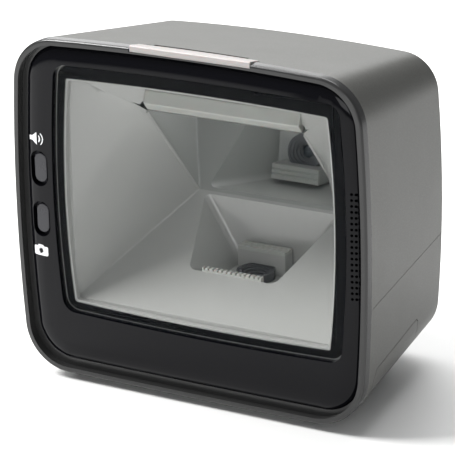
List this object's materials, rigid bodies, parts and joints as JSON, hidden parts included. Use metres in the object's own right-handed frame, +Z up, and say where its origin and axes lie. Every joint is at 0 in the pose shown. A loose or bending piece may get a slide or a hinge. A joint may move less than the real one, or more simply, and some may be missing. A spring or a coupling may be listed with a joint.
{
  "type": "on-counter presentation barcode scanner",
  "caption": "Box-shaped counter scanner with an upright window over a mirror-folded imager, a read indicator bar, press buttons, a speaker grille and rear sockets.",
  "frame": {"origin": "on the counter, at the centre of the footprint", "axes": "+X to the right as the user sees the window, +Y from the window to the rear cover, +Z up"},
  "size_m": [0.152, 0.086, 0.1399],
  "materials": {
    "graphite_shell": "fine-textured metallic graphite lacquer on moulded plastic",
    "gloss_black": "polished black moulded plastic",
    "window_glass": "clear flat glass",
    "window_border": "black printed border and foam seal",
    "light_pipe": "frosted milky light pipe",
    "button_cap": "satin dark grey moulded caps",
    "switch_housing": "black switch housings",
    "switch_plunger": "moulded switch plungers",
    "chamber": "satin light grey moulded plastic",
    "mirror": "front-surface mirror",
    "mirror_plate": "bare pressed sheet",
    "diffuser": "frosted translucent diffusers",
    "circuit_board": "green solder-masked board",
    "chip_black": "moulded chip packages",
    "led": "lamp packages with pale phosphor",
    "screw_steel": "zinc-plated screws",
    "brass": "turned brass",
    "contact_gold": "plated contacts",
    "socket_black": "black socket housings",
    "rubber": "soft black rubber",
    "lens_black": "ribbed anti-glare black",
    "lens_glass": "coated optical glass",
    "speaker_plastic": "moulded speaker frame",
    "speaker_cone": "formed film diaphragm",
    "magnet_steel": "plated magnet cup",
    "ribbon": "amber flexible circuit"
  },
  "bodies": {
    "root": {"housing_shell": "graphite_shell", "base_cover": "graphite_shell", "rear_cover": "graphite_shell", "bezel_frame": "gloss_black", "front_panel": "gloss_black", "window_glass": "window_glass", "window_border": "window_border", "good_read_light_bar": "light_pipe", "switch_bodies": "switch_housing", "light_chamber": "chamber", "camera_well": "chamber", "fold_mirror": "mirror", "mirror_plate": "mirror_plate", "hood_diffuser": "diffuser", "lamp_bar": "diffuser", "aiming_light_strip": "diffuser", "main_board": "circuit_board", "camera_board": "circuit_board", "hood_led_board": "circuit_board", "lamp_board": "circuit_board", "indicator_board": "circuit_board", "button_board": "circuit_board", "board_chips": "chip_black", "image_sensor": "chip_black", "indicator_leds": "led", "hood_leds": "led", "lamp_leds": "led", "chamber_screws": "screw_steel", "base_screws": "screw_steel", "board_screws": "screw_steel", "riser_inserts": "brass", "camera_standoffs": "brass", "host_contacts": "contact_gold", "power_pin": "contact_gold", "host_socket": "socket_black", "power_jack": "socket_black", "rubber_feet": "rubber", "speaker_duct": "rubber", "lens_barrel": "lens_black", "lens_holder": "lens_black", "camera_lens": "lens_glass", "speaker_frame": "speaker_plastic", "speaker_cone": "speaker_cone", "speaker_magnet": "magnet_steel", "camera_ribbon": "ribbon"},
    "volume_key": {"volume_button": "button_cap", "volume_switch_plunger": "switch_plunger"},
    "picture_key": {"picture_button": "button_cap", "picture_switch_plunger": "switch_plunger"}
  },
  "joints": [
    {"name": "volume_press", "type": "slide", "parent": "root", "child": "volume_key", "axis": [0, 1, 0], "range_m": [0, 0.0008], "stiffness_N_per_m": 1500},
    {"name": "picture_press", "type": "slide", "parent": "root", "child": "picture_key", "axis": [0, 1, 0], "range_m": [0, 0.0008], "stiffness_N_per_m": 1500}
  ]
}
